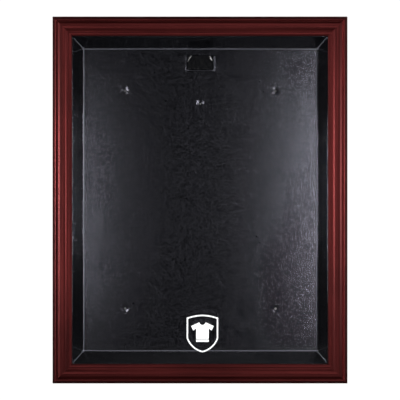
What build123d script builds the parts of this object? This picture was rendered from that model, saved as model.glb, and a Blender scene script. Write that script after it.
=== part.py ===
from build123d import *
from math import atan, cos, degrees, tan
import os

os.makedirs("parts", exist_ok=True)

# A wall-hung display case for one jersey: a moulded tray with a hinged wooden door and a clear pane.
# Millimetres. The wall is the plane Y = 0, the front faces -Y, +Z is up, and +X is the viewer's right.
# The origin is the centre of the four corner wall screws, on the wall. A "level" is a distance out
# from the wall, so Plane.XZ.offset(level) is a plane that faces the viewer.

# ---------------------------------------------------------------- driving dimensions
frame_width = 860.0
frame_height = 1070.0
moulding_width = 56.0        # of each wooden rail, from outer edge to sight edge
moulding_depth = 25.6        # of each wooden rail, rear face to crest
door_gap = 0.4               # between the closed door and the tray's flange

tray_depth = 50.0            # wall to the front of the flange
tray_wall = 3.0              # thickness of the moulding everywhere
foot_height = 5.0            # ribs that hold the tray's floor off the wall
flange_setback = 17.0        # the door overhangs the flange by this much
flange_corner = 12.0
mouth_overlap = 1.0          # the tray's mouth is this much inside the sight edge
wall_run_x = 24.0            # how far the left and right walls lean in from mouth to floor
wall_run_z = 27.0            # the same for the upper and lower walls
mouth_corner = 7.0           # radius where two side walls meet
rim_radius = 2.5             # rounded edge of the mouth
floor_radius = 6.0           # rounded corner between wall and floor
pad_margin = 5.5             # smooth border between the wall and the grained pad
pad_rise = 0.5               # the grained pad stands this much above the floor
rib_pitch_x = 138.0
rib_pitch_z = 150.0

seat_inset_x = 124.5         # corner screw seats, from the floor's side edges
seat_inset_z = 126.5         # corner screw seats, from the floor's upper and lower edges
seat_radius = 12.0
seat_depth = 1.8             # of a seat at its edge
seat_fall = 1.2              # from a seat's edge to its countersink, as a shallow cone
seat_lip = 1.0               # rounded edge of a seat
screw_hole_radius = 2.5
screw_sink_radius = 5.0
boss_radius = 15.0

hook_drop = 44.0             # the hook's middle, below the floor's upper edge
top_seat_drop = 120.2        # the fifth screw seat, below the hook's middle
hook_width = 76.0
hook_height = 38.0
hook_base = 3.0
hook_side_angle = 88.5       # the base is a little narrower at its foot
plate_width = 71.0
plate_thickness = 3.5
plate_cut_x = 6.0            # cut-off upper corners of the front plate
plate_cut_z = 10.0
plate_bevel = 3.4            # width of the bevel along each cut-off corner
plate_bevel_depth = 0.8
plate_edge = 1.5             # rounded lower edge of the plate
ledge_height = 8.0
rod_channel = 14.0           # room for a 12.7 mm hanger rod
channel_radius = 5.0
recess_level = 3.0           # floor of the hook's recess
recess_run = 1.0             # how far the recess's sides lean
recess_lip_x = 5.8           # shallow slope round the recess, at its left and right
recess_lip_z = 3.0           # the same at its top and foot
recess_lip_depth = 1.4
hook_clearance = 0.5

pane_thickness = 3.0
pane_clearance = 1.0         # between the pane's edge and the wood
rabbet_width = 10.0
rabbet_depth = 6.0
point_length = 12.0          # flat steel tabs that hold the pane
point_width = 10.0
point_thickness = 0.6
point_bite = 5.0             # how deep a tab is driven into the wood
points_up = 4                # tabs along each stile
points_across = 3            # tabs along each rail

nail_leg = 7.0
nail_height = 10.0
nail_thickness = 0.8
nail_inset = 16.0            # outer V-nail, from the frame's outer edges
nail_margin = 12.0           # inner V-nail, from the rabbet

hinge_inset_x = 8.0          # hinge axis, from the frame's outer edge
hinge_inset_z = 185.0        # hinge's middle, from the frame's upper and lower edges
hinge_length = 64.0
leaf_reach = 25.0            # from the axis to a leaf's far edge
leaf_thickness = 1.2
leaf_gap = 0.2               # between the closed leaves
leaf_clearance = 0.4         # round the tray's leaf, inside the door's mortise
knuckle_count = 5
knuckle_radius = 3.0
knuckle_gap = 0.3
knuckle_room = 0.4           # wood cut back round the knuckles
pin_radius = 1.25
pin_clearance = 0.04
hinge_pad_depth = 8.0        # thickening behind the flange, for the screws

catch_inset_z = 235.0        # magnets, from the frame's upper and lower edges
magnet_radius = 5.0
magnet_depth = 4.0
strike_width = 16.0
strike_height = 34.0
strike_thickness = 1.2
strike_screw_pitch = 22.0

screw_radius = 1.4
screw_head_radius = 2.7
screw_head_depth = 1.2
screw_cross = 0.6            # cross recess in a screw head
hinge_screw_pitch = 22.0
hinge_screws_per_leaf = 3
case_screw_length = 9.0
door_screw_length = 12.0
hook_screw_length = 11.0

emblem_width = 92.0
emblem_height = 110.0
emblem_rise = 88.0           # emblem's middle, above the lower sight edge
emblem_shift = 7.0           # the print sits a little right of the middle
emblem_stroke = 4.0
print_thickness = 0.2

# ---------------------------------------------------------------- levels and outlines that follow
flange_level = tray_depth
floor_level = foot_height + tray_wall
pad_level = floor_level + pad_rise
door_level = tray_depth + door_gap
pane_front_level = door_level + rabbet_depth
pane_back_level = pane_front_level - pane_thickness

sight_width = frame_width - 2 * moulding_width
sight_height = frame_height - 2 * moulding_width
mouth_width = sight_width - 2 * mouth_overlap
mouth_height = sight_height - 2 * mouth_overlap
floor_width = mouth_width - 2 * wall_run_x
floor_height = mouth_height - 2 * wall_run_z
flange_width = frame_width - 2 * flange_setback
flange_height = frame_height - 2 * flange_setback
draft_x = atan(wall_run_x / (flange_level - floor_level))
draft_z = atan(wall_run_z / (flange_level - floor_level))
shell_growth_x = tray_wall / cos(draft_x) - tray_wall * tan(draft_x)
shell_growth_z = tray_wall / cos(draft_z) - tray_wall * tan(draft_z)
back_width = floor_width + 2 * shell_growth_x
back_height = floor_height + 2 * shell_growth_z

seat_x = floor_width / 2 - seat_inset_x
seat_z = floor_height / 2 - seat_inset_z
hook_z = floor_height / 2 - hook_drop
seats = [(x, z) for x in (-seat_x, seat_x) for z in (-seat_z, seat_z)]
seats.append((0, hook_z - top_seat_drop))

hinge_x = hinge_inset_x - frame_width / 2
hinge_level = flange_level + leaf_thickness + leaf_gap / 2
hinge_z = frame_height / 2 - hinge_inset_z
hinge_places = {"upper": hinge_z, "lower": -hinge_z}
leaf_start = knuckle_radius + knuckle_room
leaf_middle_x = hinge_x + (leaf_start + leaf_reach) / 2
leaf_rows = [(n - (hinge_screws_per_leaf - 1) / 2) * hinge_screw_pitch for n in range(hinge_screws_per_leaf)]
leaf_screws = [(leaf_middle_x, z + row) for z in hinge_places.values() for row in leaf_rows]

catch_x = frame_width / 2 - (flange_setback + moulding_width - rabbet_width) / 2
catch_z = frame_height / 2 - catch_inset_z
catch_places = {"upper": catch_z, "lower": -catch_z}
strike_points = [
    (catch_x, z + side * strike_screw_pitch / 2) for z in catch_places.values() for side in (-1, 1)
]

plate_level = recess_level + hook_base + rod_channel
ledge_z = hook_z - hook_height / 2 + ledge_height / 2
hook_points = [(-plate_width / 3, ledge_z), (plate_width / 3, ledge_z)]


def save(piece, name):
    """Label a finished piece and write its STEP."""
    piece.part.label = name
    export_step(piece.part, f"parts/{name}.step")


def screw_group(points, level, length, side, crossed):
    """Countersunk screws with flush heads at this level; side 1 drives them from the front, -1 from behind."""
    grow = Align.MAX if side > 0 else Align.MIN
    foot, crown = (screw_radius, screw_head_radius) if side > 0 else (screw_head_radius, screw_radius)
    placed = (Align.CENTER, Align.CENTER, grow)
    with BuildPart() as screws:
        with Locations(Plane.XZ.offset(level)):
            with Locations(*points):
                Cylinder(screw_radius, length, align=placed)
                Cone(foot, crown, screw_head_depth, align=placed)
                if crossed:
                    blade = 2 * screw_radius
                    Box(blade, screw_cross, screw_cross, align=placed, mode=Mode.SUBTRACT)
                    Box(screw_cross, blade, screw_cross, align=placed, mode=Mode.SUBTRACT)
    return screws


# ---------------------------------------------------------------- screws, as holes and as pieces
case_screw_holes = screw_group(leaf_screws, flange_level + leaf_thickness, case_screw_length, 1, False)
case_hinge_screws = screw_group(leaf_screws, flange_level + leaf_thickness, case_screw_length, 1, True)
save(case_hinge_screws, "case_hinge_screws")

door_leaf_level = flange_level + leaf_thickness + leaf_gap
door_screw_holes = screw_group(leaf_screws, door_leaf_level, door_screw_length, -1, False)
door_hinge_screws = screw_group(leaf_screws, door_leaf_level, door_screw_length, -1, True)
save(door_hinge_screws, "door_hinge_screws")

strike_screw_holes = screw_group(strike_points, flange_level, case_screw_length, 1, False)
strike_screws = screw_group(strike_points, flange_level, case_screw_length, 1, True)
save(strike_screws, "strike_screws")

hook_screw_holes = screw_group(hook_points, 0, hook_screw_length, -1, False)
hook_screws = screw_group(hook_points, 0, hook_screw_length, -1, True)
save(hook_screws, "hook_screws")


# ---------------------------------------------------------------- backing tray
def tapered_block(low_level, low_width, low_height, high_level, high_width, high_height):
    """A block between two levels, with four flat sides that lean outwards towards the viewer."""
    with BuildPart() as block:
        with BuildSketch(Plane.XY):
            with BuildLine():
                Polyline(
                    (-low_width / 2, -low_level),
                    (low_width / 2, -low_level),
                    (high_width / 2, -high_level),
                    (-high_width / 2, -high_level),
                    close=True,
                )
            make_face()
        extrude(amount=high_height, both=True)
        with BuildSketch(Plane.YZ):
            with BuildLine():
                Polyline(
                    (-low_level, -low_height / 2),
                    (-low_level, low_height / 2),
                    (-high_level, high_height / 2),
                    (-high_level, -high_height / 2),
                    close=True,
                )
            make_face()
        extrude(amount=high_width, both=True, mode=Mode.INTERSECT)
    return block


tray_block = tapered_block(
    foot_height,
    back_width,
    back_height,
    flange_level - tray_wall,
    mouth_width + 2 * shell_growth_x,
    mouth_height + 2 * shell_growth_z,
)
hollow_block = tapered_block(floor_level, floor_width, floor_height, flange_level, mouth_width, mouth_height)

# The hollow, with its corners rounded.
with BuildPart() as tray_hollow:
    add(hollow_block.part)
    corners = tray_hollow.edges().filter_by(Axis.X, reverse=True).filter_by(Axis.Z, reverse=True)
    fillet(corners, mouth_corner)
    fillet(tray_hollow.edges().group_by(Axis.Y)[-1], floor_radius)

# The recess behind the hook: steep sides, then a shallow slope up to the pad.
recess_width = hook_width + 2 * (hook_clearance + recess_run)
recess_height = hook_height + 2 * (hook_clearance + recess_run)
with BuildPart() as hook_recess:
    with BuildSketch(Plane.XZ.offset(recess_level)):
        with Locations((0, hook_z)):
            Trapezoid(
                hook_width + 2 * hook_clearance,
                hook_height + 2 * hook_clearance,
                hook_side_angle,
                rotation=180,
            )
    extrude(
        amount=pad_level - recess_level,
        taper=-degrees(atan(recess_run / (pad_level - recess_level))),
    )
recess_slope = tapered_block(
    pad_level - recess_lip_depth,
    recess_width,
    recess_height,
    pad_level,
    recess_width + 2 * recess_lip_x,
    recess_height + 2 * recess_lip_z,
)

with BuildPart() as backing_tray:
    # Tapered shell and its flange.
    add(tray_block.part)
    with BuildSketch(Plane.XZ.offset(flange_level - tray_wall)):
        RectangleRounded(flange_width, flange_height, flange_corner)
    extrude(amount=tray_wall)
    # Thicker pads behind the flange, for the hinge and strike screws.
    pad_outer_x = flange_width / 2
    hinge_pad_width = leaf_reach + hinge_inset_x - flange_setback
    strike_pad_width = strike_width + 2 * tray_wall
    with BuildSketch(Plane.XZ.offset(flange_level - tray_wall)):
        for z in hinge_places.values():
            with Locations((hinge_pad_width / 2 - pad_outer_x, z)):
                Rectangle(hinge_pad_width, hinge_length)
        for z in catch_places.values():
            with Locations((catch_x, z)):
                Rectangle(strike_pad_width, strike_height + 2 * tray_wall)
    extrude(amount=-hinge_pad_depth)
    # The hollow, and the rounded rim of its mouth.
    add(tray_hollow.part, mode=Mode.SUBTRACT)
    rim = backing_tray.edges().group_by(Axis.Y)[0].filter_by(
        lambda edge: abs(edge.center().X) < mouth_width / 2 + 1 and abs(edge.center().Z) < mouth_height / 2 + 1
    )
    fillet(rim, rim_radius)
    # Grained pad on the floor.
    with BuildSketch(Plane.XZ.offset(floor_level)):
        RectangleRounded(floor_width - 2 * pad_margin, floor_height - 2 * pad_margin, floor_radius)
    extrude(amount=pad_rise)
    # Ribs, screw bosses and the hook's recess box, all down to the wall.
    with BuildSketch(Plane.XZ):
        Rectangle(back_width, back_height)
        Rectangle(back_width - 2 * tray_wall, back_height - 2 * tray_wall, mode=Mode.SUBTRACT)
        with GridLocations(rib_pitch_x, 0, 4, 1):
            Rectangle(tray_wall, back_height - tray_wall)
        with GridLocations(0, rib_pitch_z, 1, 5):
            Rectangle(back_width - tray_wall, tray_wall)
        with Locations(*seats):
            Circle(boss_radius)
        with Locations((0, hook_z)):
            Rectangle(recess_width + 2 * tray_wall, recess_height + 2 * tray_wall)
    extrude(amount=foot_height)
    add(hook_recess.part, mode=Mode.SUBTRACT)
    with Locations((0, 0, hook_z)):
        add(recess_slope.part, mode=Mode.SUBTRACT)
    # Dished screw seats with countersunk holes.
    with BuildSketch(Plane.XZ.offset(pad_level)):
        with Locations(*seats):
            Circle(seat_radius)
    extrude(amount=-seat_depth, mode=Mode.SUBTRACT)
    lips = backing_tray.edges().filter_by(GeomType.CIRCLE).filter_by(
        lambda edge: abs(edge.radius - seat_radius) < 0.01 and abs(edge.center().Y + pad_level) < 0.01
    )
    fillet(lips, seat_lip)
    with Locations(Plane.XZ.offset(pad_level - seat_depth)):
        with Locations(*seats):
            Cone(
                screw_sink_radius,
                seat_radius,
                seat_fall,
                align=(Align.CENTER, Align.CENTER, Align.MAX),
                mode=Mode.SUBTRACT,
            )
    with Locations(Plane.XZ.offset(pad_level - seat_depth - seat_fall)):
        with Locations(*seats):
            CounterSinkHole(screw_hole_radius, screw_sink_radius, counter_sink_angle=90)
    # Pockets that hold the strike plates flush, and every screw hole.
    with BuildSketch(Plane.XZ.offset(flange_level)):
        for z in catch_places.values():
            with Locations((catch_x, z)):
                Rectangle(strike_width, strike_height)
    extrude(amount=-strike_thickness, mode=Mode.SUBTRACT)
    add(case_screw_holes.part, mode=Mode.SUBTRACT)
    add(strike_screw_holes.part, mode=Mode.SUBTRACT)
    add(hook_screw_holes.part, mode=Mode.SUBTRACT)
save(backing_tray, "backing_tray")


# ---------------------------------------------------------------- hook for the hanger rod
with BuildPart() as rod_hook:
    with BuildSketch(Plane.XZ.offset(recess_level)):
        with Locations((0, hook_z)):
            Trapezoid(hook_width, hook_height, hook_side_angle, rotation=180)
    extrude(amount=hook_base)
    # Ledge that the rod rests on.
    with BuildSketch(Plane.XZ.offset(recess_level + hook_base)):
        with Locations((0, ledge_z)):
            Rectangle(plate_width, ledge_height)
    extrude(amount=rod_channel)
    # Front plate with cut-off upper corners.
    half_plate = plate_width / 2
    plate_foot = hook_z - hook_height / 2
    plate_top = hook_z + hook_height / 2
    with BuildSketch(Plane.XZ.offset(plate_level)):
        with BuildLine():
            Polyline(
                (-half_plate, plate_foot),
                (half_plate, plate_foot),
                (half_plate, plate_top - plate_cut_z),
                (half_plate - plate_cut_x, plate_top),
                (plate_cut_x - half_plate, plate_top),
                (-half_plate, plate_top - plate_cut_z),
                close=True,
            )
        make_face()
    extrude(amount=plate_thickness)
    plate_face = rod_hook.faces().sort_by(Axis.Y)[0]
    cut_edges = plate_face.edges().filter_by(Axis.X, reverse=True).filter_by(Axis.Z, reverse=True)
    chamfer(cut_edges, plate_bevel, plate_bevel_depth, reference=plate_face)
    foot_edge = rod_hook.faces().sort_by(Axis.Y)[0].edges().sort_by(Axis.Z)[0]
    fillet(foot_edge, plate_edge)
    # Rounded bottom of the rod's channel.
    ledge_top = ledge_z + ledge_height / 2
    channel = rod_hook.edges().filter_by(Axis.X).filter_by(
        lambda edge: abs(edge.center().Z - ledge_top) < 0.01
    )
    fillet(channel, channel_radius)
    add(hook_screw_holes.part, mode=Mode.SUBTRACT)
save(rod_hook, "rod_hook")


# ---------------------------------------------------------------- hinges
def knuckle_spans(middle_z, turn):
    """The lower end of every second knuckle, starting with number turn."""
    pitch = hinge_length / knuckle_count
    foot = middle_z - hinge_length / 2
    return [foot + number * pitch + knuckle_gap / 2 for number in range(turn, knuckle_count, 2)]


def hinge_leaf(middle_z, turn, level, length, reach, bore, screw_holes):
    """A flat leaf on the plane at this level, with its rolled knuckles round the hinge axis."""
    knuckle_length = hinge_length / knuckle_count - knuckle_gap
    with BuildPart() as leaf:
        with BuildSketch(Plane.XZ.offset(level)):
            with Locations((hinge_x + (leaf_start + reach) / 2, middle_z)):
                Rectangle(reach - leaf_start, length)
        extrude(amount=leaf_thickness)
        for foot in knuckle_spans(middle_z, turn):
            with BuildSketch(Plane.XZ.offset(level)):
                with Locations((hinge_x + leaf_start / 2, foot + knuckle_length / 2)):
                    Rectangle(leaf_start, knuckle_length)
            extrude(amount=leaf_thickness)
            with BuildSketch(Plane.XY.offset(foot)):
                with Locations((hinge_x, -hinge_level)):
                    Circle(knuckle_radius)
            extrude(amount=knuckle_length)
        with BuildSketch(Plane.XY.offset(middle_z - hinge_length)):
            with Locations((hinge_x, -hinge_level)):
                Circle(bore)
        extrude(amount=2 * hinge_length, mode=Mode.SUBTRACT)
        add(screw_holes.part, mode=Mode.SUBTRACT)
    return leaf


for place, z in hinge_places.items():
    case_leaf = hinge_leaf(
        z,
        0,
        flange_level,
        hinge_length - 2 * leaf_clearance,
        leaf_reach - leaf_clearance,
        pin_radius,
        case_screw_holes,
    )
    save(case_leaf, f"hinge_case_leaf_{place}")
    door_leaf = hinge_leaf(
        z,
        1,
        door_leaf_level,
        hinge_length,
        leaf_reach,
        pin_radius + pin_clearance,
        door_screw_holes,
    )
    save(door_leaf, f"hinge_door_leaf_{place}")
    with BuildPart() as hinge_pin:
        with BuildSketch(Plane.XY.offset(z - hinge_length / 2)):
            with Locations((hinge_x, -hinge_level)):
                Circle(pin_radius)
        extrude(amount=hinge_length)
    save(hinge_pin, f"hinge_pin_{place}")

# What each hinge takes out of the left stile: a mortise for both leaves and a groove for the knuckles.
mortise_level = door_leaf_level + leaf_thickness
with BuildPart() as hinge_housing:
    for z in hinge_places.values():
        with BuildSketch(Plane.XZ.offset(mortise_level)):
            with Locations((hinge_x + leaf_reach / 2, z)):
                Rectangle(leaf_reach, hinge_length)
        extrude(amount=flange_level - mortise_level)
        with BuildSketch(Plane.XY.offset(z - hinge_length / 2 - knuckle_room)):
            with Locations((hinge_x, -hinge_level)):
                Circle(knuckle_radius + knuckle_room)
        extrude(amount=hinge_length + 2 * knuckle_room)


# ---------------------------------------------------------------- magnetic catches
for place, z in catch_places.items():
    with BuildPart() as catch_magnet:
        with BuildSketch(Plane.XZ.offset(door_level)):
            with Locations((catch_x, z)):
                Circle(magnet_radius)
        extrude(amount=magnet_depth)
    save(catch_magnet, f"catch_magnet_{place}")
    with BuildPart() as strike_plate:
        with BuildSketch(Plane.XZ.offset(flange_level)):
            with Locations((catch_x, z)):
                Rectangle(strike_width, strike_height)
        extrude(amount=-strike_thickness)
        add(strike_screw_holes.part, mode=Mode.SUBTRACT)
    save(strike_plate, f"strike_plate_{place}")

with BuildPart() as magnet_bores:
    with BuildSketch(Plane.XZ.offset(door_level)):
        for z in catch_places.values():
            with Locations((catch_x, z)):
                Circle(magnet_radius)
    extrude(amount=magnet_depth)


# ---------------------------------------------------------------- pane and what holds it
pane_growth = 2 * (rabbet_width - pane_clearance)
with BuildPart() as acrylic_panel:
    with BuildSketch(Plane.XZ.offset(pane_back_level)):
        Rectangle(sight_width + pane_growth, sight_height + pane_growth)
    extrude(amount=pane_thickness)
save(acrylic_panel, "acrylic_panel")

point_offset = rabbet_width + point_bite - point_length / 2
with BuildPart() as glazing_points:
    with BuildSketch(Plane.XZ.offset(pane_back_level)):
        for side in (-1, 1):
            with Locations((side * (sight_width / 2 + point_offset), 0)):
                with GridLocations(0, sight_height / points_up, 1, points_up):
                    Rectangle(point_length, point_width)
            with Locations((0, side * (sight_height / 2 + point_offset))):
                with GridLocations(sight_width / points_across, 0, points_across, 1):
                    Rectangle(point_width, point_length)
    extrude(amount=-point_thickness)
save(glazing_points, "glazing_points")


# ---------------------------------------------------------------- V-nails across the mitres
inner_nail = moulding_width - rabbet_width - nail_margin
with BuildPart() as corner_v_nails:
    with BuildSketch(Plane.XZ.offset(door_level)):
        for inset in (nail_inset, inner_nail):
            for side in (-1, 1):
                for end in (-1, 1):
                    nail_x = side * (frame_width / 2 - inset)
                    nail_z = end * (frame_height / 2 - inset)
                    with Locations((nail_x - side * nail_leg / 2, nail_z)):
                        Rectangle(nail_leg + nail_thickness, nail_thickness)
                    with Locations((nail_x, nail_z - end * nail_leg / 2)):
                        Rectangle(nail_thickness, nail_leg + nail_thickness)
    extrude(amount=nail_height)
save(corner_v_nails, "corner_v_nails")


# ---------------------------------------------------------------- wooden frame
# Section of the moulding: X runs from the outer edge to the sight edge, Y from the rear face to the crest.
step_rise = 13.0
step_chamfer = 0.8           # eased outer edge of the step
step_end = 6.4
bead_crown = 10.2
bead_rise = 19.0
bead_end = 14.0
bead_foot = 16.0
groove_end = 15.4
groove_rise = 16.2
cove_end = moulding_width - 10.0
cove_rise = 17.4
hump_width = cove_end - groove_end
crest_start = groove_end + 0.36 * hump_width
crest_end = cove_end - 0.36 * hump_width
crest_drop = 0.9             # the crest's ends lie this much below its middle
ogee_middle = cove_end - 0.20 * hump_width
ogee_rise = 21.2
quirk_rise = 15.6
sight_rise = 13.0

with BuildSketch() as moulding:
    with BuildLine():
        Line((0, 0), (0, step_rise - step_chamfer))
        Line((0, step_rise - step_chamfer), (step_chamfer, step_rise))
        Line((step_chamfer, step_rise), (step_end, step_rise))
        SagittaArc((step_end, step_rise), (bead_crown, bead_rise), 1.2)
        SagittaArc((bead_crown, bead_rise), (bead_end, bead_foot), 0.8)
        Line((bead_end, bead_foot), (groove_end, groove_rise))
        SagittaArc((groove_end, groove_rise), (crest_start, moulding_depth - crest_drop), 1.6)
        SagittaArc(
            (crest_start, moulding_depth - crest_drop),
            (crest_end, moulding_depth - crest_drop),
            crest_drop,
        )
        SagittaArc((crest_end, moulding_depth - crest_drop), (ogee_middle, ogee_rise), 0.5)
        SagittaArc((ogee_middle, ogee_rise), (cove_end, cove_rise), -0.8)
        Line((cove_end, cove_rise), (cove_end, quirk_rise))
        SagittaArc((cove_end, quirk_rise), (moulding_width, sight_rise), 1.3)
        Line((moulding_width, sight_rise), (moulding_width, rabbet_depth))
        Line((moulding_width, rabbet_depth), (moulding_width - rabbet_width, rabbet_depth))
        Line((moulding_width - rabbet_width, rabbet_depth), (moulding_width - rabbet_width, 0))
        Line((moulding_width - rabbet_width, 0), (0, 0))
    make_face()

# Each rail: the corner it starts from, the way in to the sight edge, the way along, and its length.
rails = {
    "frame_left_stile": ((-1, 1), Vector(1, 0, 0), Vector(0, 0, -1), frame_height),
    "frame_bottom_rail": ((-1, -1), Vector(0, 0, 1), Vector(1, 0, 0), frame_width),
    "frame_right_stile": ((1, -1), Vector(-1, 0, 0), Vector(0, 0, 1), frame_height),
    "frame_top_rail": ((1, 1), Vector(0, 0, -1), Vector(-1, 0, 0), frame_width),
}
for name, (corner, inward, along, length) in rails.items():
    start = Vector(corner[0] * frame_width / 2, -door_level, corner[1] * frame_height / 2)
    with BuildPart() as rail:
        with BuildSketch(Plane(origin=start, x_dir=inward, z_dir=along)):
            add(moulding.sketch)
        extrude(amount=length)
        split(bisect_by=Plane(origin=start, z_dir=along - inward), keep=Keep.TOP)
        split(bisect_by=Plane(origin=start + along * length, z_dir=-along - inward), keep=Keep.TOP)
        add(corner_v_nails.part, mode=Mode.SUBTRACT)
        add(glazing_points.part, mode=Mode.SUBTRACT)
        if name == "frame_left_stile":
            add(hinge_housing.part, mode=Mode.SUBTRACT)
            add(door_screw_holes.part, mode=Mode.SUBTRACT)
        if name == "frame_right_stile":
            add(magnet_bores.part, mode=Mode.SUBTRACT)
    save(rail, name)


# ---------------------------------------------------------------- print on the back of the pane
# A shield outline with a plain short-sleeved jersey in it.
half_shield = emblem_width / 2
shield_tip = emblem_height / 2
shield_shoulder = 0.84 * shield_tip
shield_waist = -0.25 * shield_tip
half_body = 0.20 * emblem_width
half_neck = 0.10 * emblem_width
sleeve_reach = 0.36 * emblem_width
cuff_inset = 0.07 * emblem_width
collar_z = 0.30 * emblem_height
sleeve_z = 0.20 * emblem_height
armpit_z = 0.08 * emblem_height
hem_z = -0.22 * emblem_height
neck_drop = 0.07 * emblem_height
emblem_plane = Plane(
    origin=(emblem_shift, -pane_back_level, emblem_rise - sight_height / 2),
    x_dir=(1, 0, 0),
    z_dir=(0, -1, 0),
)
with BuildPart() as emblem_print:
    with BuildSketch(emblem_plane):
        with BuildLine():
            SagittaArc((0, shield_tip), (half_shield, shield_shoulder), emblem_stroke / 2)
            Line((half_shield, shield_shoulder), (half_shield, shield_waist))
            SagittaArc((half_shield, shield_waist), (0, -shield_tip), 2 * emblem_stroke)
            mirror(about=Plane.YZ)
        make_face()
        offset(amount=-emblem_stroke, mode=Mode.SUBTRACT)
    extrude(amount=-print_thickness)
    with BuildSketch(emblem_plane):
        with BuildLine():
            SagittaArc((0, collar_z - neck_drop), (half_neck, collar_z), -emblem_stroke / 2)
            Polyline(
                (half_neck, collar_z),
                (sleeve_reach, sleeve_z),
                (sleeve_reach - cuff_inset, armpit_z),
                (half_body, sleeve_z - cuff_inset),
                (half_body, hem_z),
                (0, hem_z),
            )
            mirror(about=Plane.YZ)
        make_face()
        # A band above the hem stays clear.
        with Locations((0, hem_z + 2 * emblem_stroke)):
            Rectangle(emblem_width / 2, emblem_stroke / 2, mode=Mode.SUBTRACT)
    extrude(amount=-print_thickness)
save(emblem_print, "emblem_print")
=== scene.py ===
import math

import bpy
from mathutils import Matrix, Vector


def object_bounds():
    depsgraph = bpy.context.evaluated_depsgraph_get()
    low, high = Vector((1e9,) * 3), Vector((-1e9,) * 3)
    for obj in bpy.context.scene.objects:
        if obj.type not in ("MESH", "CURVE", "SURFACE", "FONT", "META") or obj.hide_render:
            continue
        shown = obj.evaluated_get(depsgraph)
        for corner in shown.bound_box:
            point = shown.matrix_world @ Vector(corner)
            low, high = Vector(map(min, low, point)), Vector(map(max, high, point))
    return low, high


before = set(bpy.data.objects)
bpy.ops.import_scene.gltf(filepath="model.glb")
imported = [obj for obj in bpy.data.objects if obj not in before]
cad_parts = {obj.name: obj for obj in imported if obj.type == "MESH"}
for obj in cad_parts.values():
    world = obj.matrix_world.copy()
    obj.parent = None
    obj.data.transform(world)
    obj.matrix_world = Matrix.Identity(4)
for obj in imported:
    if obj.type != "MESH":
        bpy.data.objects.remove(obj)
cad_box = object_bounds()

# The wall is the plane Y = 0, the front faces -Y, +Z is up and +X is the viewer's right. All sizes are
# metres. The colour patterns follow the object's own coordinates, so they ride with each piece.

# ---------------------------------------------------------------- sizes that the looks follow
low_corner, high_corner = cad_box
middle = (low_corner + high_corner) / 2
case_height = high_corner.z - low_corner.z
frame_half_width = round(high_corner.x, 4)
frame_half_height = round(high_corner.z, 4)
wall_foot_x, wall_foot_z = 0.081, 0.084           # the tray's floor, in from the frame's outer edges
floor_half_width = frame_half_width - wall_foot_x
floor_half_height = frame_half_height - wall_foot_z
floor_level = 0.008                               # the tray's floor, out from the wall
pad_level = 0.0085                                # the grained pad on the floor, out from the wall
seat_inset_x, seat_inset_z = 0.1245, 0.1265       # corner wall screws, in from the floor's edges
top_seat_drop = 0.1642                            # fifth wall screw, below the floor's upper edge

X, Z = 0, 2                                       # indices of the axes


# ---------------------------------------------------------------- shader helpers
class Shader:
    """A node material. Its calls add nodes, and most return the node's output."""

    def __init__(self, name):
        self.material = bpy.data.materials.new(name)
        self.material.use_nodes = True
        self.nodes = self.material.node_tree.nodes
        self.links = self.material.node_tree.links
        self.nodes.clear()
        self.output = self.nodes.new("ShaderNodeOutputMaterial")
        self.place = self.nodes.new("ShaderNodeTexCoord").outputs["Object"]

    def add(self, kind, inputs=None, **settings):
        """Add a node of this kind and return the node itself."""
        node = self.nodes.new("ShaderNode" + kind)
        for key, value in settings.items():
            setattr(node, key, value)
        for key, value in (inputs or {}).items():
            self.plug(value, node.inputs[key])
        return node

    def plug(self, value, socket):
        """Link an output to this socket, or set the socket's own value."""
        if isinstance(value, bpy.types.NodeSocket):
            self.links.new(value, socket)
        else:
            socket.default_value = value

    def axes(self):
        """The object's coordinates as separate outputs."""
        return self.add("SeparateXYZ", {"Vector": self.place}).outputs

    def stretched(self, scale):
        """The object's coordinates, scaled by axis."""
        return self.add("Mapping", {"Vector": self.place, "Scale": scale}).outputs["Vector"]

    def noise(self, scale, detail=3.0, roughness=0.5, vector=None, distortion=0.0):
        return self.add(
            "TexNoise",
            {
                "Vector": vector or self.place,
                "Scale": scale,
                "Detail": detail,
                "Roughness": roughness,
                "Distortion": distortion,
            },
        ).outputs["Fac"]

    def cells(self, scale, **settings):
        """Voronoi cells, as a node with Distance and Color outputs."""
        return self.add("TexVoronoi", {"Vector": self.place, "Scale": scale, "Randomness": 1.0}, **settings)

    def ramp(self, value, stops):
        """A colour ramp, from (position, colour) stops."""
        node = self.add("ValToRGB", {"Fac": value})
        ramp = node.color_ramp
        while len(ramp.elements) < len(stops):
            ramp.elements.new(0.5)
        for element, (position, colour) in zip(ramp.elements, stops):
            element.position = position
            element.color = (*colour, 1.0)
        return node.outputs["Color"]

    def span(self, value, low, high, to_low=0.0, to_high=1.0):
        """Carry low..high over to to_low..to_high, clamped."""
        return self.add(
            "MapRange",
            {"Value": value, "From Min": low, "From Max": high, "To Min": to_low, "To Max": to_high},
        ).outputs["Result"]

    def math(self, operation, first, second=0.0):
        return self.add("Math", {0: first, 1: second}, operation=operation).outputs["Value"]

    def near(self, value, centre, reach):
        """1 where the value is within reach of the centre, and 0 elsewhere."""
        return self.add("Math", {0: value, 1: centre, 2: reach}, operation="COMPARE").outputs["Value"]

    def painted(self, share, under, over):
        """One colour laid over another, by share."""
        return self.add("Mix", {0: share, 6: under, 7: over}, data_type="RGBA").outputs[2]

    def bump(self, height, distance):
        return self.add("Bump", {"Height": height, "Distance": distance, "Strength": 1.0}).outputs["Normal"]

    def blend(self, share, first, second):
        """Two shaders, mixed by share."""
        return self.add("MixShader", {0: share, 1: first.outputs[0], 2: second.outputs[0]})

    def finish(self, shader):
        self.links.new(shader.outputs[0], self.output.inputs["Surface"])
        return self.material


def dress(material, *names):
    """Give CAD nodes this material."""
    for name in names:
        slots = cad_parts[name].data.materials
        slots.clear()
        slots.append(material)


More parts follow.
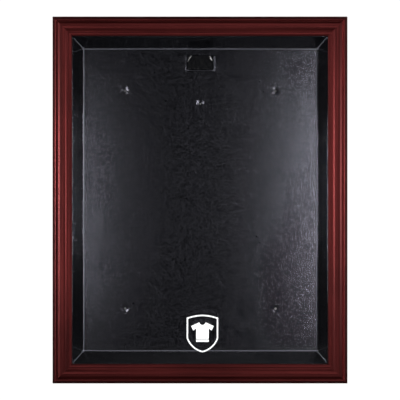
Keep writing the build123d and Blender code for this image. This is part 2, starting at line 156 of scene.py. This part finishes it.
# ---------------------------------------------------------------- wood
def mahogany(name, along, across, outer, bead_highlight_gain=1.0, hump_shade_gain=1.0):
    """Dark red lacquered wood, its grain along one axis, darker and less glossy on the outer step.

    outer is the moulding's outer edge, measured across. The fifth argument scales a painted highlight, more
    gloss on the bead's inner flank; the sixth scales painted shade, less gloss on the hump inside the bead.
    """
    grain_across, grain_along = 90.0, 2.2         # noise scale, per metre
    darken_start, darken_full = 0.0072, 0.0058      # the outer step, in from the outer edge
    flank_place, flank_reach = 0.013, 0.002
    hump_place, hump_reach = 0.0225, 0.0035
    outer_step_dark = (0.006, 0.0006, 0.0006, 1.0)
    fibre_red = (0.50, 0.062, 0.062, 1.0)
    fibre_share = 0.11
    wood = Shader(name)
    scale = [grain_across] * 3
    scale[along] = grain_along
    grain = wood.noise(1.0, 6.0, 0.62, wood.stretched(scale), 0.4)
    pores = wood.noise(6.0, 4.0, 0.6, wood.stretched(scale))
    patches = wood.noise(5.0, 3.0)
    figure = wood.math("ADD", grain, wood.math("MULTIPLY", wood.math("SUBTRACT", patches, 0.5), 0.5))
    colour = wood.ramp(
        figure,
        [
            (0.30, (0.0085, 0.0011, 0.0010)),
            (0.52, (0.0130, 0.0018, 0.0017)),
            (0.74, (0.0190, 0.0031, 0.0028)),
        ],
    )
    reach = wood.math("ABSOLUTE", wood.axes()[across])
    # A darker colour is laid on the outer step, and its gloss is cut there (off_step below).
    step = wood.span(reach, outer - darken_start, outer - darken_full)
    colour = wood.painted(wood.math("MULTIPLY", step, 0.6), colour, outer_step_dark)
    rough = wood.span(patches, 0.3, 0.7, 0.38, 0.46)
    normal = wood.bump(wood.math("ADD", grain, wood.math("MULTIPLY", pores, 0.5)), 0.00006)
    stain = wood.add(
        "BsdfPrincipled",
        {"Base Color": colour, "Roughness": rough, "Normal": normal, "Specular IOR Level": 0.03},
    )
    fibre = wood.add("BsdfGlossy", {"Color": fibre_red, "Roughness": 0.38, "Normal": normal})
    off_step = wood.span(step, 0.0, 1.0, 1.0, 0.2)
    share = wood.span(wood.math("MULTIPLY", figure, off_step), 0.0, 1.0, 0.0, fibre_share)
    # Painted highlight and painted shade: the gloss share is raised on the bead's inner flank and cut on
    # the hump.
    flank = wood.near(reach, outer - flank_place, flank_reach)
    hump = wood.near(reach, outer - hump_place, hump_reach)
    share = wood.math("MULTIPLY", share, wood.span(flank, 0.0, 1.0, 1.0, bead_highlight_gain))
    share = wood.math("MULTIPLY", share, wood.span(hump, 0.0, 1.0, 1.0, hump_shade_gain))
    return wood.finish(wood.blend(share, stain, fibre))


# ---------------------------------------------------------------- plastics and print
def junction_highlight(black, parts):
    """Mask of painted highlights: thin lines where the tray's walls meet its floor and each other, standing
    in for shine on the rounded joints.
    """
    wall_run_x, wall_run_z, wall_rise = 0.024, 0.027, 0.042  # the walls' lean, as in the CAD
    foot_inside, foot_reach = -0.0022, 0.0013               # the seam along the floor's edges
    foot_top = 0.004
    corner_reach = 0.0016                                   # half width of the seams up the corners
    corner_start, corner_end = 0.003, 0.0395
    reach_x = black.math("ABSOLUTE", parts["X"])
    reach_z = black.math("ABSOLUTE", parts["Z"])
    out = black.math("SUBTRACT", black.math("MULTIPLY", parts["Y"], -1.0), floor_level)
    past_x = black.math("SUBTRACT", reach_x, floor_half_width)
    past_z = black.math("SUBTRACT", reach_z, floor_half_height)
    # The painted highlight is made weaker towards the right.
    fainter_right = black.span(parts["X"], -floor_half_width, floor_half_width, 1.0, 0.2)
    foot_x = black.math("MULTIPLY", black.near(past_x, foot_inside, foot_reach), fainter_right)
    foot_z = black.near(past_z, foot_inside, foot_reach)
    low_down = black.math("LESS_THAN", out, foot_top)
    foot = black.math("MULTIPLY", black.math("MAXIMUM", foot_x, foot_z), low_down)
    lean_x = black.math("SUBTRACT", past_x, black.math("MULTIPLY", out, wall_run_x / wall_rise))
    lean_z = black.math("SUBTRACT", past_z, black.math("MULTIPLY", out, wall_run_z / wall_rise))
    corner = black.near(lean_x, lean_z, corner_reach)
    off_floor = black.math("GREATER_THAN", out, corner_start)
    in_mouth = black.math("LESS_THAN", out, corner_end)
    on_wall = black.math("MULTIPLY", off_floor, in_mouth)
    return black.math("MAXIMUM", foot, black.math("MULTIPLY", corner, on_wall))


def recess_highlight(black, parts):
    """Mask of a painted highlight on the slope on the right of the hook's recess, and a fainter one along
    its foot.
    """
    side_x, side_half_width = 0.0427, 0.0028
    side_z, side_half_height = 0.406, 0.021
    foot_z, foot_half_height = 0.3858, 0.0016
    foot_half_width = 0.0425
    slope_y, slope_reach = -0.0076, 0.00085       # keeps the mask off the back of the tray
    beside = black.near(parts["X"], side_x, side_half_width)
    level = black.near(parts["Z"], side_z, side_half_height)
    under = black.near(parts["Z"], foot_z, foot_half_height)
    across = black.near(parts["X"], 0.0, foot_half_width)
    side = black.math("MULTIPLY", black.math("MULTIPLY", beside, level), 0.75)
    foot = black.math("MULTIPLY", black.math("MULTIPLY", under, across), 0.35)
    sunk = black.near(parts["Y"], slope_y, slope_reach)
    return black.math("MULTIPLY", black.math("MAXIMUM", side, foot), sunk)


def tray_plastic():
    """Black moulded plastic: leather grain on the raised pad, smooth elsewhere, with painted highlights at
    the wall joints and beside the hook's recess.
    """
    pad_reach = 0.0002
    duller_behind = 0.0089                        # the floor, and all behind it, is less glossy
    grain_scale, grit_scale, fine_scale = 300.0, 330.0, 700.0
    grain_depth = 0.00028
    highlight_grey = (0.085, 0.085, 0.10, 1.0)
    cool_shine = (0.86, 0.84, 1.0, 1.0)
    black = Shader("tray_plastic")
    parts = black.axes()
    on_pad = black.near(parts["Y"], -pad_level, pad_reach)
    leather = black.cells(grain_scale, feature="SMOOTH_F1").outputs["Distance"]
    fine = black.noise(fine_scale, 3.0, 0.6)
    lumps = black.noise(grit_scale, 0.0, 0.5)
    grit = black.cells(grit_scale).outputs["Color"]
    height = black.math("ADD", leather, black.math("MULTIPLY", fine, 0.1))
    height = black.math("ADD", height, black.math("MULTIPLY", lumps, 0.5))
    normal = black.bump(black.math("MULTIPLY", height, on_pad), grain_depth)
    near_floor = black.math("GREATER_THAN", parts["Y"], -duller_behind)
    rough = black.span(near_floor, 0.0, 1.0, 0.11, 0.18)
    speckle = black.span(grit, 0.0, 1.0, -0.5, 0.6)
    shine = black.math("ADD", black.math("MULTIPLY", speckle, on_pad), 0.5)
    tone = black.ramp(grit, [(0.20, (0.0008, 0.0008, 0.0010)), (0.80, (0.0070, 0.0070, 0.0085))])
    # Painted highlights: pale grey is laid on the wall joints and on the recess's right slope and foot.
    painted_highlights = black.math("MAXIMUM", junction_highlight(black, parts), recess_highlight(black, parts))
    tone = black.painted(painted_highlights, tone, highlight_grey)
    return black.finish(
        black.add(
            "BsdfPrincipled",
            {
                "Base Color": tone,
                "Roughness": rough,
                "Normal": normal,
                "Specular IOR Level": shine,
                "Specular Tint": cool_shine,
            },
        )
    )


def gloss_black():
    """Smooth black plastic, for the hook."""
    black = Shader("hook_plastic")
    rough = black.span(black.noise(180.0), 0.3, 0.7, 0.14, 0.22)
    normal = black.bump(black.noise(900.0), 0.00002)
    return black.finish(
        black.add(
            "BsdfPrincipled",
            {"Base Color": (0.0012, 0.0012, 0.0018, 1.0), "Roughness": rough, "Normal": normal},
        )
    )


def clear_acrylic():
    """A clear sheet: it mirrors a little and lets the rest through."""
    bend = 1.3                                    # index of refraction, turned over on back faces
    pane = Shader("clear_acrylic")
    haze = pane.span(pane.noise(40.0), 0.3, 0.7, 0.02, 0.05)
    mirror = pane.add("BsdfGlossy", {"Roughness": haze})
    clear = pane.add("BsdfTransparent", {"Color": (0.985, 0.99, 0.99, 1.0)})
    behind = pane.add("NewGeometry").outputs["Backfacing"]
    gloss = pane.add("Fresnel", {"IOR": pane.span(behind, 0.0, 1.0, bend, 1.0 / bend)}).outputs["Fac"]
    return pane.finish(pane.blend(gloss, clear, mirror))


def print_white():
    """White screen print, with a little emission as painted light, lifting it to full white."""
    ink = Shader("white_print")
    tone = ink.ramp(ink.noise(900.0), [(0.3, (0.86, 0.86, 0.86)), (0.7, (0.93, 0.93, 0.93))])
    return ink.finish(
        ink.add(
            "BsdfPrincipled",
            {
                "Base Color": tone,
                "Roughness": 0.5,
                "Emission Color": (1.0, 1.0, 1.0, 1.0),
                "Emission Strength": 0.35,
            },
        )
    )


# ---------------------------------------------------------------- metals
def plated(name, colour, along, low_rough=0.22, high_rough=0.38):
    """Plated steel, brushed along one axis."""
    brush_across, brush_along = 900.0, 40.0       # noise scale, per metre
    metal = Shader(name)
    scale = [brush_across] * 3
    scale[along] = brush_along
    brush = metal.noise(1.0, 3.0, 0.6, metal.stretched(scale))
    darker = tuple(0.82 * channel for channel in colour)
    tone = metal.ramp(brush, [(0.3, darker), (0.7, colour)])
    rough = metal.span(brush, 0.3, 0.7, low_rough, high_rough)
    normal = metal.bump(brush, 0.00002)
    return metal.finish(
        metal.add(
            "BsdfPrincipled",
            {"Base Color": tone, "Metallic": 1.0, "Roughness": rough, "Normal": normal},
        )
    )


# ---------------------------------------------------------------- which piece wears what
left_wood = mahogany("mahogany_left", Z, X, frame_half_width)
# The right stile's copy has a painted highlight on the bead's inner flank and painted shade on the hump.
right_wood = mahogany("mahogany_right", Z, X, frame_half_width, bead_highlight_gain=3.5, hump_shade_gain=0.6)
level_wood = mahogany("mahogany_level", X, Z, frame_half_height)
dress(left_wood, "frame_left_stile")
dress(right_wood, "frame_right_stile")
dress(level_wood, "frame_top_rail", "frame_bottom_rail")
dress(tray_plastic(), "backing_tray")
dress(gloss_black(), "rod_hook")
dress(clear_acrylic(), "acrylic_panel")
dress(print_white(), "emblem_print")

zinc = plated("zinc_plate", (0.62, 0.61, 0.58), Z)
hinge_names = [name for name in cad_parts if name.startswith("hinge_")]
dress(zinc, *hinge_names)
screw_steel = plated("screw_steel", (0.55, 0.55, 0.55), X)
dress(screw_steel, "hook_screws", "case_hinge_screws", "strike_screws", "door_hinge_screws")
bright_steel = plated("bright_steel", (0.60, 0.60, 0.60), Z)
dress(bright_steel, "strike_plate_upper", "strike_plate_lower")
nail_steel = plated("nail_steel", (0.45, 0.45, 0.46), X)
dress(nail_steel, "corner_v_nails", "glazing_points")
nickel = plated("nickel", (0.74, 0.72, 0.68), X, 0.08, 0.16)
dress(nickel, "catch_magnet_upper", "catch_magnet_lower")


# ---------------------------------------------------------------- stage, light and camera
scene = bpy.context.scene
scene.view_settings.view_transform = "Standard"


def studio_world():
    """White to the camera, and a dim grey fill for everything else."""
    world = bpy.data.worlds.new("studio")
    scene.world = world
    world.use_nodes = True
    nodes, links = world.node_tree.nodes, world.node_tree.links
    nodes.clear()

    def background(colour, strength):
        node = nodes.new("ShaderNodeBackground")
        node.inputs["Color"].default_value = colour
        node.inputs["Strength"].default_value = strength
        return node.outputs[0]

    seen = nodes.new("ShaderNodeLightPath").outputs["Is Camera Ray"]
    mix = nodes.new("ShaderNodeMixShader")
    links.new(seen, mix.inputs[0])
    links.new(background((0.9, 0.93, 1.0, 1.0), 0.012), mix.inputs[1])
    links.new(background((1.0, 1.0, 1.0, 1.0), 1.1), mix.inputs[2])
    links.new(mix.outputs[0], nodes.new("ShaderNodeOutputWorld").inputs["Surface"])


def pale_floor():
    """A white floor, far below the case. It looks brighter to the camera than to the case."""
    drop = 1.1                                    # from the case's foot to the floor
    to_case, to_camera = 0.1, 1.2                 # strength of its glow
    bpy.ops.mesh.primitive_plane_add(size=14.0, location=(0, 0, low_corner.z - drop))
    floor = bpy.context.object
    floor.name = "floor"
    paint = Shader("floor_paint")
    tone = paint.ramp(paint.noise(2.0), [(0.3, (0.90, 0.90, 0.90)), (0.7, (0.94, 0.94, 0.94))])
    seen = paint.add("LightPath").outputs["Is Camera Ray"]
    strength = paint.span(seen, 0.0, 1.0, to_case, to_camera)
    floor.data.materials.append(paint.finish(paint.add("Emission", {"Color": tone, "Strength": strength})))


def wall_behind_screws():
    """Small patches of the wall, seen through the screw holes."""
    patch_radius, patch_thickness, patch_y = 0.009, 0.001, 0.0009
    seat_x = floor_half_width - seat_inset_x
    seat_z = floor_half_height - seat_inset_z
    top_seat_z = floor_half_height - top_seat_drop
    corner_seats = [(-seat_x, seat_z), (seat_x, seat_z), (-seat_x, -seat_z), (seat_x, -seat_z)]
    plaster = Shader("wall_plaster")
    tone = plaster.ramp(plaster.noise(300.0), [(0.3, (0.30, 0.30, 0.29)), (0.7, (0.40, 0.40, 0.39))])
    paint = plaster.finish(plaster.add("BsdfPrincipled", {"Base Color": tone, "Roughness": 0.9}))
    for x, z in (*corner_seats, (0.0, top_seat_z)):
        bpy.ops.mesh.primitive_cylinder_add(
            radius=patch_radius,
            depth=patch_thickness,
            location=(x, patch_y, z),
            rotation=(math.radians(90), 0, 0),
        )
        patch = bpy.context.object
        patch.name = "wall_patch"
        patch.data.materials.append(paint)


def softbox(name, place, size, power):
    """A white area light, aimed at the case's middle and hidden from the camera."""
    light = bpy.data.lights.new(name, "AREA")
    light.shape = "RECTANGLE"
    light.size, light.size_y = size
    light.energy = power
    holder = bpy.data.objects.new(name, light)
    scene.collection.objects.link(holder)
    holder.location = place
    holder.rotation_euler = (middle - Vector(place)).to_track_quat("-Z", "Y").to_euler()
    holder.visible_camera = False


def camera():
    """Far back, a little right of and above the middle, square on to the case."""
    distance = 2.6
    aside, above = 0.04, 0.03
    outline_y = -0.0614      # the distance is taken from here, near the front of the frame's outer side
    share = 0.917            # of the picture's height that the case fills
    sensor = 36.0
    lens = bpy.data.cameras.new("camera")
    lens.sensor_width = sensor
    lens.lens = sensor * share * distance / case_height
    shift_per_metre = share / case_height
    lens.shift_x = -aside * shift_per_metre
    lens.shift_y = -above * shift_per_metre
    holder = bpy.data.objects.new("camera", lens)
    scene.collection.objects.link(holder)
    holder.location = (middle.x + aside, outline_y - distance, middle.z + above)
    holder.rotation_euler = (math.radians(90), 0, 0)
    scene.camera = holder


studio_world()
pale_floor()
wall_behind_screws()

# Name, place, width and height, and power in watts.
softbox("left_front", (-1.5, -3.2, -0.07), (0.9, 1.3), 50.0)
softbox("right_front", (1.48, -5.1, 0.0), (0.6, 2.2), 87.0)
softbox("left_edge", (-2.3, -0.35, 0.05), (0.5, 0.8), 95.0)
softbox("right_edge", (2.3, -0.35, 0.05), (0.5, 0.8), 60.0)
softbox("right_side", (2.1, -1.15, 0.05), (0.8, 0.9), 5.0)
softbox("below", (0.2, -0.9, -1.5), (1.6, 0.9), 6.8)
softbox("above", (0.2, -1.2, 1.9), (1.6, 0.9), 13.5)
softbox("top_right", (1.4, -3.07, 1.6), (0.6, 0.6), 22.0)
softbox("top_left", (-1.4, -3.07, 1.6), (0.6, 0.6), 9.0)
softbox("behind_left", (-1.7, 2.4, 0.9), (1.2, 1.2), 70.0)
softbox("behind_right", (1.7, 2.4, 0.3), (1.2, 1.2), 40.0)
camera()
